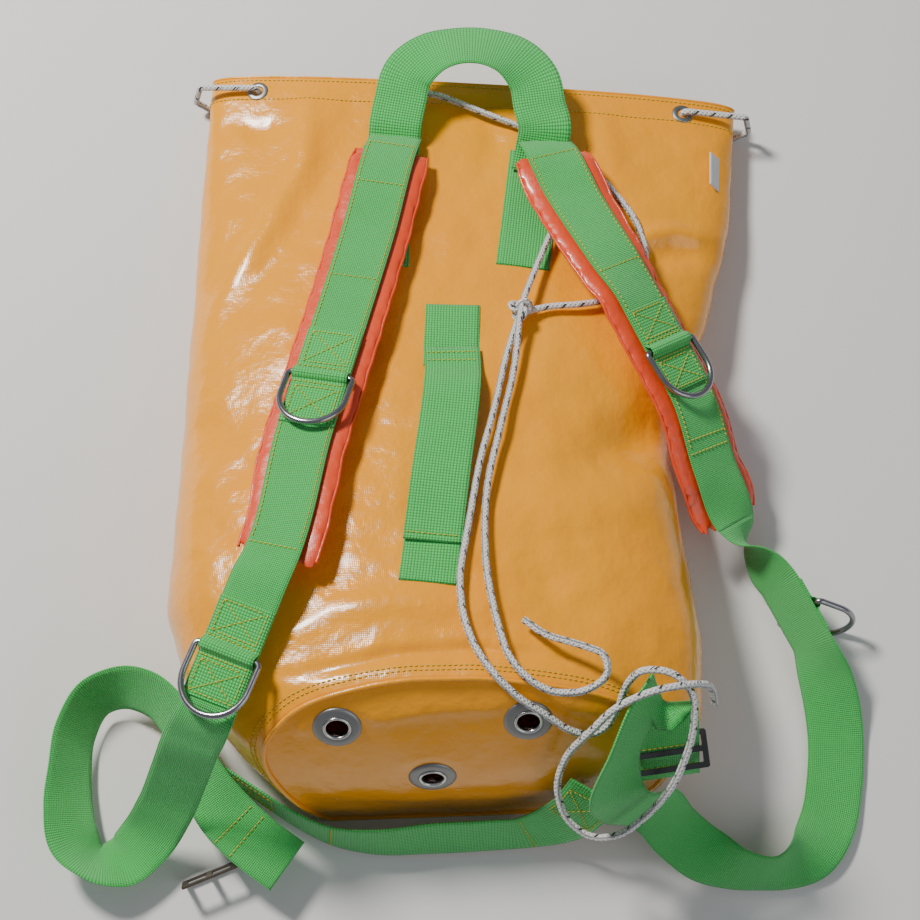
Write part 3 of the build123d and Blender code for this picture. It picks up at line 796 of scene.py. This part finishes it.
def sewn_patch(name, node, place, length, turn, boxes=(), rows_at=(), low=-1.2, high=2.2, width=50.0):
    path = patch_path(place, length, turn)
    obj = band(name, path, green, low=low, high=high, width=width, slot="webbing", body="bag")
    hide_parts(node)
    seams = []
    for a, b in boxes:
        seams += box_x(path, a * path.s[-1], b * path.s[-1], high, width / 2 - 5)
    for a in rows_at:
        seams += row_across(path, a * path.s[-1], high, width / 2 - 2)
    stitches(name + "_stitches", seams, slot="webbing", body="bag")
    return path


sewn_patch("left_haul_patch", "left_haul_anchor", (-72, 204), 140, 2,
           boxes=((0.08, 0.42),), rows_at=(0.03, 0.5))
sewn_patch("right_haul_patch", "right_haul_anchor", (64, 208), 134, -3,
           boxes=((0.06, 0.38), (0.44, 0.72)), rows_at=(0.03, 0.78))
sewn_patch("hand_strap_top", "hand_strap_top_patch", (0, 62), 66, 2, boxes=((0.2, 0.9),), rows_at=(0.06,))
sewn_patch("hand_strap_bottom", "hand_strap_bottom_patch", (-3, -158), 50, -2, boxes=((0.12, 0.88),))

label_path = patch_path((245, 272), 36, 0)
label = band("blank_label", label_path, label_cloth, low=-0.6, high=0.8, width=30.0,
             slot="label_cloth", body="bag")
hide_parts("label")
border = [
    (0.0015, -13, 0.0345, -13), (0.0345, -13, 0.0345, 13),
    (0.0345, 13, 0.0015, 13), (0.0015, 13, 0.0015, -13),
]
stitches("label_stitches", [seam_on(label_path, *row, 0.8) for row in border],
         white_thread, 2.0, 0.9, 0.28, slot="label_cloth", body="bag")

hand_stations = [
    ((1, 47, top(1, 47) + 2.6), (1, 0.02, 0)), ((3, 28, top(3, 28) + 6), (1, 0, 0)),
    ((4, 8, 140), (1, 0.02, 0.02)), ((3, -30, 150.5), (1, 0.05, 0)), ((0, -80, 160.5), (1, 0.05, 0)),
    ((-2, -122, top(-2, -122) + 5.5), (1, 0.03, 0)), ((-3, -146, top(-3, -146) + 2.6), (1, 0.03, 0)),
]
hand_path = Path(hand_stations)
hand = band("hand_strap_band", hand_path, green, slot="webbing", body="bag")
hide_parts("hand_strap")
stitches("hand_strap_stitches", row_across(hand_path, 0.006, 2.0) + row_across(hand_path, 0.016, 2.0)
         + row_across(hand_path, hand_path.s[-1] - 0.006, 2.0), slot="webbing", body="bag")

# Harness ----------------------------------------------------------------------------------------
left_stations = [
    ((-67, 276, 78), (1, -0.1, 0.05)), ((-69, 264, 86), (1, -0.1, 0.05)),
    ((-83, 160, 112), (1, -0.14, 0.08)), ((-96, 78, 132), (1, -0.15, 0.15)),
    ((-118, -50, 163), (1, -0.15, 0.15)), ((-134, -172, 189), (1, -0.12, 0.22)),
    ((-142, -196, 192), (1, -0.3, 0.16)), ((-175, -299.7, 174.3), (1, -0.3, 0.16)),
    ((-190, -322, 143), (1, -0.22, 0.15)), ((-204, -342, 100), (1, -0.16, 0.1)),
    ((-221, -368, 55), (1, -0.16, 0.1)), ((-240, -392, 26), (1, -0.4, 0.1)),
    ((-258, -410, 20), (0.8, -0.75, 0.3)), ((-280, -414, 24), (0.3, -0.75, 0.65)),
    ((-300, -398, 28), (-0.5, -0.65, 0.6)), ((-310, -368, 28), (-0.7, -0.3, 0.7)),
    ((-313, -335, 28), (-0.6, 0.0, 0.8)), ((-312, -300, 29), (-0.5, 0.25, 0.8)),
    ((-298, -270, 31), (-0.3, 0.45, 0.8)), ((-272, -260, 34), (0.0, 0.6, 0.75)),
    ((-245, -266, 38), (0.05, 0.7, 0.7)), ((-222, -286, 44), (0.2, 0.75, 0.65)),
    ((-204, -310, 49), (0.4, 0.5, 0.75)), ((-190, -340, 50), (0.8, 0.3, 0.5)),
    ((-168, -368, 45), (0.8, 0.6, 0.15)), ((-142, -389, 40), (0.7, 0.75, 0)),
    ((-113, -407, 36), (0.7, 0.75, 0)),
]
right_stations = [
    ((74, 276, 85), (1, 0.02, 0)), ((79, 264, 95), (1, 0.02, 0)), ((104, 210, 107), (1, 0.05, -0.05)),
    ((142, 144, 120), (1, 0.3, -0.3)), ((165, 110, 118), (0.75, 0.35, -0.45)),
    ((216, 27, 99), (0.75, 0.35, -0.45)), ((244, -38, 73), (0.85, 0.3, -0.5)),
    ((266, -80, 50), (0.8, 0.25, -0.6)), ((272, -92, 46), (0.5, 0.25, -0.8)),
    ((281, -103, 43), (0.05, -0.05, -1)), ((296, -120, 41), (-0.35, -0.3, -0.85)),
    ((308, -134, 40), (-0.45, -0.2, -0.8)), ((337, -182, 35), (-0.45, -0.2, -0.8)),
    ((355, -218, 19), (-0.8, -0.3, -0.45)), ((364, -255, 8), (-1, -0.08, -0.1)),
    ((364, -300, 6), (-1, -0.15, 0)), ((357, -338, 9), (-0.95, -0.2, 0.1)),
    ((338, -370, 18), (-0.85, 0.05, 0.45)), ((310, -386, 24), (-0.55, 0.25, 0.75)),
    ((280, -387, 29), (-0.25, 0.55, 0.75)), ((248, -376, 34), (0.15, 0.9, 0.4)),
    ((220, -360, 52), (0.55, 0.8, 0.1)), ((199, -346, 82), (0.8, 0.6, 0.05)),
    ((174, -350, 112), (0.9, 0.42, -0.05)), ((160, -345, 144), (0.85, 0.3, -0.3)),
    ((164, -312, 176), (0.55, 0.3, -0.75)), ((180, -280, 190), (0.45, -0.3, -0.8)),
    ((193, -271, 183), (0.85, -0.2, -0.45)), ((197, -278, 168), (0.97, 0.2, 0.01)),
    ((206, -320, 112), (0.97, 0.2, 0.01)),
]
left_path = Path(left_stations, runs=(3, 6))
right_path = Path(right_stations, runs=(4, 11, 28))


def bend(obj):
    """Bakes the webbing's placement into its mesh."""
    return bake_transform(obj)


splits = (("left", left_path, (-175, -299.7, 174.3)), ("right", right_path, (266, -80, 50)))
for side, path, split in splits:
    cut = path.near(split)
    upper_band = band(f"{side}_webbing_upper", path, green_fine, end=cut,
                      slot="webbing", body=f"{side}_strap")
    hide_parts(f"{side}_shoulder_webbing")
    free = band(f"{side}_webbing_free", path, green_fine, start=cut, slot="webbing")
    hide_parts(f"{side}_lower_strap", f"{side}_lower_strap_return")
    bend(free)


def ring_tab(name, path, start, share, half, boxes, body):
    """The short webbing that holds a ring, humped over the ring's bar."""
    bar = path.near(start) + share * MM

    def lift(s):
        x = (s - bar) / MM
        high = 4.05 + 6.3 * math.exp(-((x / 5.2) ** 4))
        return max(2.02, high - 2.0), high

    first, last = bar - half * MM, bar + half * MM
    obj = band(name, path, green, start=first, end=last, lift=lift, slot="webbing", body=body)
    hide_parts(name.replace("_band", ""))
    seams = []
    for a, b in boxes:
        seams += box_x(path, bar + a * MM, bar + b * MM, 4.05)
    for a in (-8.5, 8.5):
        seams += row_across(path, bar + a * MM, 4.1)
    stitches(name + "_stitches", seams, slot="webbing", body=body)


ring_tab("left_upper_ring_tab_band", left_path, (-96, 78, 132), 82, 50,
         ((-46, -13), (13, 46)), "left_strap")
ring_tab("left_lower_ring_tab_band", left_path, (-142, -196, 192), 61, 42,
         ((-39, -12), (12, 39)), "left_strap")
ring_tab("right_upper_ring_tab_band", right_path, (165, 110, 118), 54, 42,
         ((-39, -12), (12, 39)), "right_strap")
ring_tab("right_lower_ring_tab_band", right_path, (308, -134, 40), 28, 25,
         ((-22, -11), (11, 22)), "right_strap")

for side, path, rows_at in (
    ("left", left_path, ((-70, 262, 86), (-76, 214, 98), (-92, 106, 125), (-132, -164, 188))),
    ("right", right_path, ((84, 254, 97), (146, 137, 120), (234, -8, 85), (238, -20, 80))),
):
    seams = []
    for place in rows_at:
        seams += row_across(path, path.near(place), 2.0)
    for u in (-21.5, 21.5):
        s0, s1 = path.near(rows_at[0]), path.near(rows_at[3])
        n = 160
        s = np.linspace(s0, s1, n)
        seams.append((path.at(s, np.full(n, u * MM), np.full(n, 2.0 * MM)), path.off(s)))
    stitches(f"{side}_webbing_stitches", seams, slot="webbing", body=f"{side}_strap")

loose = []
for place in ((281, -103, 43), (294, -118, 41), (352, -212, 22), (201, -298, 140), (204, -312, 121)):
    loose += row_across(right_path, right_path.near(place), 2.0)
bend(stitches("right_free_stitches", loose, slot="webbing"))
loose = []
for place in ((-173, -290, 176), (-160, -374, 44), (-148, -384, 42)):
    loose += row_across(left_path, left_path.near(place), 2.0)
bend(stitches("left_free_stitches", loose, slot="webbing"))

belt_stations = [
    ((-176, -328, 26), (0.1, 0.05, 1)), ((-146, -345, 27), (0.05, 0.1, 1)),
    ((-112, -364, 27), (0.0, 0.15, 1)), ((-78, -377, 27), (0.0, 0.2, 1)),
    ((-40, -380, 26), (0.0, 0.3, 0.95)), ((10, -374, 27), (0.0, 0.4, 0.9)),
    ((55, -369, 28), (0.0, 0.4, 0.9)), ((92, -364, 30), (-0.1, 0.4, 0.9)),
    ((116, -358, 45), (-0.5, 0.45, 0.75)), ((132, -350, 74), (-0.7, 0.4, 0.6)),
    ((146, -336, 102), (-0.7, 0.5, 0.5)),
]
belt_path = Path(belt_stations)
belt = band("base_webbing", belt_path, green, slot="webbing", body="bag")
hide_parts("left_anchor_tab", "base_belt", "right_anchor_tab")
seams = box_x(belt_path, 0.012, 0.052, 2.0) + row_across(belt_path, belt_path.near((-78, -377, 27)), 2.0)
seams += row_across(belt_path, belt_path.near((92, -364, 30)), 2.0)
seams += box_x(belt_path, belt_path.s[-1] - 0.048, belt_path.s[-1] - 0.010, 2.0)
stitches("base_webbing_stitches", seams, slot="webbing", body="bag")

haul_stations = [
    ((-71, 252, top(-71, 252) + 2.6), (-1, 0.03, 0)), ((-69, 268, top(-69, 268) + 7), (-1, 0.05, 0)),
    ((-68, 286, 85), (-1, 0.05, 0)), ((-65, 308, 90), (-1, 0.14, 0)), ((-59, 334, 97), (-0.9, 0.42, 0)),
    ((-40, 352, 103), (-0.6, 0.76, -0.15)), ((-14, 361, 106), (-0.15, 0.94, -0.3)),
    ((14, 362, 106), (0.12, 0.95, -0.3)), ((42, 353, 104), (0.6, 0.76, -0.15)),
    ((61, 334, 99), (0.9, 0.42, 0)), ((68, 308, 96), (1, 0.14, 0)), ((74, 287, 94), (1, 0.05, 0)),
    ((72, 268, top(72, 268) + 14), (1, 0.03, 0)), ((69, 248, top(69, 248) + 2.6), (1, 0.03, 0)),
]
haul_path = Path(haul_stations)
haul = band("haul_webbing", haul_path, green, slot="webbing")
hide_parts("haul_loop")
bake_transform(haul)


# Pads --------------------------------------------------------------------------------------------
def pad_shell(name, path, start, end):
    """A flat closed envelope that the filling swells."""
    rings, uvs = [], []
    half, thick = 38.0, 12.0
    for h in np.linspace(0, 1, 90):
        s = start + (end - start) * h
        taper = min(1.0, (0.08 + min(h, 1 - h) * 14)) ** 0.5
        angle = np.linspace(0, 2 * math.pi, 40, endpoint=False)
        u = np.sign(np.cos(angle)) * np.abs(np.cos(angle)) ** 0.55 * half
        z = -7.4 + np.sign(np.sin(angle)) * np.abs(np.sin(angle)) ** 0.75 * (thick / 2 - 1) * taper
        rings.append(path.at(np.full(40, s), u * MM, z * MM))
        uvs.append(np.stack([u * MM, np.full(40, s)], 1))
    return closed_strip(name, rings, uvs, red, slot="pad_cloth")


def against(co, path):
    """The nearest station of a strap to each place, with the place across it and off its face."""
    frame_at = np.linalg.norm(co[:, None, :] - path.centre[None, ::2], axis=2).argmin(1) * 2
    delta = co - path.centre[frame_at]
    u = (delta * path.across[frame_at]).sum(1)
    h = (delta * path.face[frame_at]).sum(1)
    return frame_at, delta, u, h


def swell(obj, path, cap):
    """The cover is swollen by its filling, held down where the webbing is sewn on."""
    remesh = obj.modifiers.new("remesh", "REMESH")
    remesh.mode = "VOXEL"
    remesh.voxel_size = 0.0045
    obj.data = applied(obj)
    obj.modifiers.remove(remesh)
    co = np.zeros(len(obj.data.vertices) * 3)
    obj.data.vertices.foreach_get("co", co)
    co = co.reshape(-1, 3)
    held = obj.vertex_groups.new(name="held")
    frame_at, delta, u, h = against(co, path)
    sewn = ((np.abs(u) < 0.0235) & (h > -0.006)) | (np.abs(u) > 0.0352)
    pins = [int(i) for i in np.where(sewn)[0]]
    held.add(pins, 1.0, "REPLACE")
    cloth = obj.modifiers.new("cloth", "CLOTH")
    cloth.settings.quality = 5
    cloth.settings.mass = 0.3
    cloth.settings.tension_stiffness = 12
    cloth.settings.compression_stiffness = 8
    cloth.settings.bending_stiffness = 0.4
    cloth.settings.use_pressure = True
    cloth.settings.uniform_pressure_force = 3.5
    cloth.settings.vertex_group_mass = "held"
    cloth.settings.effector_weights.gravity = 0
    cloth.point_cache.frame_start, cloth.point_cache.frame_end = 1, 16
    for step in range(1, 17):
        bpy.context.scene.frame_set(step)
    done = obj.evaluated_get(bpy.context.evaluated_depsgraph_get())
    moved = np.zeros(len(done.data.vertices) * 3)
    done.data.vertices.foreach_get("co", moved)
    shift = moved.reshape(-1, 3) - co
    reach = np.linalg.norm(shift, axis=1, keepdims=True)
    shift *= np.minimum(1, cap * MM / np.maximum(reach, 1e-9))
    over = ((co + shift - path.centre[frame_at]) * path.face[frame_at]).sum(1) + 0.0004
    shift -= path.face[frame_at] * np.clip(over, 0, None)[:, None]
    obj.modifiers.remove(cloth)
    bpy.context.scene.frame_set(1)
    obj.data.vertices.foreach_set("co", (co + shift).ravel())
    obj.data.update()
    smoothing = obj.modifiers.new("smooth", "SUBSURF")
    smoothing.levels = smoothing.render_levels = 1
    obj.data = applied(obj)
    obj.modifiers.remove(smoothing)
    obj.data.polygons.foreach_set("use_smooth", [True] * len(obj.data.polygons))


def pad_edge(pad, path, s, way):
    """The line of a pad's outermost places on one side, where its piping is sewn."""
    co = np.zeros(len(pad.data.vertices) * 3)
    pad.data.vertices.foreach_get("co", co)
    co = co.reshape(-1, 3)
    frame_at, delta, u, h = against(co, path)
    u = u * way
    spot = path.s[frame_at] + (delta * path.along_dir[frame_at]).sum(1)
    rows = []
    for place in s:
        close = np.where(np.abs(spot - place) < 0.005)[0]
        outer = close[np.argsort(u[close])[-4:]]
        rows.append((u[outer].mean(), h[outer].mean()))
    rows = np.pad(np.array(rows), ((4, 4), (0, 0)), "edge")
    even = np.stack([np.convolve(rows[:, k], np.ones(9) / 9, "valid") for k in (0, 1)], 1)
    return path.at(s, way * even[:, 0], even[:, 1])


for side, path, first, last in (
    ("left", left_path, (-69, 264, 86), (-134, -172, 189)),
    ("right", right_path, (79, 264, 95), (266, -80, 50)),
):
    start, end = path.near(first), path.near(last)
    pad = pad_shell(f"{side}_pad", path, start, end)
    swell(pad, path, 3.5)
    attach(pad, f"{side}_strap")
    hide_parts(f"{side}_pad_cover", f"{side}_pad_foam")
    n = 220
    s = np.linspace(start + 0.005, end - 0.005, n)
    for way, edge_name in ((-1, "inner"), (1, "outer")):
        line = pad_edge(pad, path, s, way)
        tube(f"{side}_pad_{edge_name}_piping", line, 0.0014, 8, red, slot="pad_cloth", body=f"{side}_strap")

# Cord ---------------------------------------------------------------------------------------------
weave_points = [
    (-55, 335, 58), (-55, 335, 44), (-209, 335, 30), (-209, 335, 53), (-266, 335, 47), (-274, 335, 18),
    (-262, 335, 3.2), (-209, 335, 3.2), (-209, 335, 19), (-55, 335, 19), (-55, 335, 3.2), (69, 335, 3.2),
    (69, 335, 19), (209, 335, 19), (209, 335, 3.2), (266, 335, 3.2), (278, 335, 18), (271, 335, 47),
    (209, 335, 53), (209, 335, 30), (69, 335, 44), (69, 335, 58),
]
left_cord_points = [
    (-55, 335, 60.2), (-50, 333, 66), (-28, 330, 66), (20, 312, 66), (75, 292, 67), (125, 255, 73),
    (165, 205, 77), (178, 160, 81), (160, 118, 95), (118, 102, 107), (86, 97, 110), (60, 86, 116.5),
    (50, 44, 123), (42, -16, 140), (32, -67, 154), (27, -121, 167), (21, -177, 180), (26, -212, 188),
    (38, -240, 193), (56, -262, 193), (78, -278, 182), (98, -286, 171), (116, -295, 159), (134, -298, 153),
    (148, -292, 159), (156, -278, 177), (160, -262, 198), (170, -253, 216), (194, -254, 219),
    (214, -268, 206), (216, -298, 186), (206, -332, 160), (190, -353, 132), (168, -371, 106),
    (143, -374, 92), (120, -360, 104), (110, -336, 128), (117, -314, 154), (134, -300, 186),
    (150, -284, 208), (178, -271, 222), (210, -262, 213), (230, -256, 184), (236, -266, 156),
]
right_cord_points = [
    (69, 335, 60.2), (72, 331, 69), (81, 314, 76), (91, 290, 78), (97, 263, 74.5), (98, 238, 79),
    (94, 206, 88), (83, 172, 97), (71, 130, 110), (60, 90, 123.5), (58, 26, 131), (49, -28, 144),
    (40, -85, 158), (39, -125, 168), (43, -171, 179), (53, -212, 188), (64, -244, 194), (81, -262, 192),
    (102, -271, 186), (128, -269, 187), (146, -257, 197), (143, -239, 200), (118, -231, 195),
    (94, -225, 190), (76, -212, 186),
]
cord_radius = 0.003
weave_line = rounded(weave_points, 4.5)
weave = tube("mouth_braid", weave_line, cord_radius, 12, braid, 0.04, slot="cord", body="bag")
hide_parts("mouth_cord")

angle = np.linspace(0, 2 * math.pi, 120, endpoint=False)
knot_line = np.stack([
    np.sin(angle) + 2 * np.sin(2 * angle), np.cos(angle) - 2 * np.cos(2 * angle), -1.25 * np.sin(3 * angle)
], 1) * 0.0031 + np.array([60, 88, 120]) * MM
knot = tube("cord_knot", knot_line, cord_radius, 12, braid, 0.04, closed=True, slot="cord", body="bag")
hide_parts("drawcord_knot")


def free_cord(name, node, points):
    line = rounded(points)
    obj = tube(name, line, cord_radius, 12, braid, 0.04, slot="cord", body="bag")
    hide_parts(node)
    return obj


free_cord("left_draw_braid", "left_drawcord", left_cord_points)
free_cord("right_draw_braid", "right_drawcord", right_cord_points)

# Metal parts kept from the frame, and the small loop that holds the steel plate --------------------
for node, material, slot in (
    ("left_upper_ring", steel, "ring_steel"), ("left_lower_ring", steel, "ring_steel"),
    ("right_upper_ring", steel, "ring_steel"), ("right_lower_ring", steel, "ring_steel"),
    ("right_buckle", black_paint, "black_metal"), ("left_buckle", brown_steel, "buckle_steel"),
):
    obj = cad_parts[node]
    obj.data.materials.clear()
    obj.data.materials.append(material)

plate_x = unit(np.array([-0.9, -0.43, 0]))
plate_z = unit(np.array([0.41, -0.86, -0.28]))
plate_y = np.cross(plate_z, plate_x)
loop_centre = np.array([-172, -412, 17]) + plate_x * -33.5
loop_half = [(-25, 1.1), (-14, 1.2), (-5.5, 2.0), (-2.6, 3.6), (0, 4.3), (3.1, 3.1)]
loop_line = loop_half + [(4.3, 0)] + [(a, -b) for a, b in loop_half[::-1]]
loop_stations = [(tuple(loop_centre + plate_x * a - plate_z * b), tuple(plate_y)) for a, b in loop_line]
loop_path = Path(loop_stations, gap=0.8)
loop_band = band("buckle_loop_band", loop_path, green, low=-0.9, high=0.9, width=18.6,
                 slot="webbing", body="bag")
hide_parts("left_buckle_loop")

# Floor, light and camera ------------------------------------------------------------------------
floor_corners = [(-6, -6, -0.0005), (6, -6, -0.0005), (6, 6, -0.0005), (-6, 6, -0.0005)]
pale = Shader("pale floor", (0.72, 0.71, 0.69), 0.85).material
floor = build("floor", floor_corners, [(0, 1, 2, 3)], pale)


def lamp(name, place, target, size, power, colour=(1, 1, 1)):
    data = bpy.data.lights.new(name, "AREA")
    data.shape = "DISK"
    data.size = size
    data.energy = power
    data.color = colour
    obj = bpy.data.objects.new(name, data)
    obj.location = place
    obj.rotation_euler = (Vector(target) - Vector(place)).to_track_quat("-Z", "Y").to_euler()
    bpy.context.scene.collection.objects.link(obj)


lamp("key", (-1.3, 1.0, 2.1), (0, -0.05, 0.05), 0.5, 92, (1, 0.97, 0.92))
lamp("fill", (1.8, -1.6, 1.6), (0, -0.1, 0.1), 2.2, 16, (0.93, 0.96, 1))
world = bpy.data.worlds.new("studio")
world.use_nodes = True
world.node_tree.nodes["Background"].inputs[0].default_value = (0.86, 0.9, 1.0, 1)
world.node_tree.nodes["Background"].inputs[1].default_value = 0.26
bpy.context.scene.world = world

camera = bpy.data.objects.new("camera", bpy.data.cameras.new("camera"))
camera.data.sensor_width = 36
camera.data.lens = 70.1
camera.location = (0.0442, -0.5415, 1.6117)
view_line = Vector((0.014, -0.048, 0.090)) - camera.location
camera.rotation_euler = view_line.to_track_quat("-Z", "Y").to_euler()
bpy.context.scene.collection.objects.link(camera)
bpy.context.scene.camera = camera
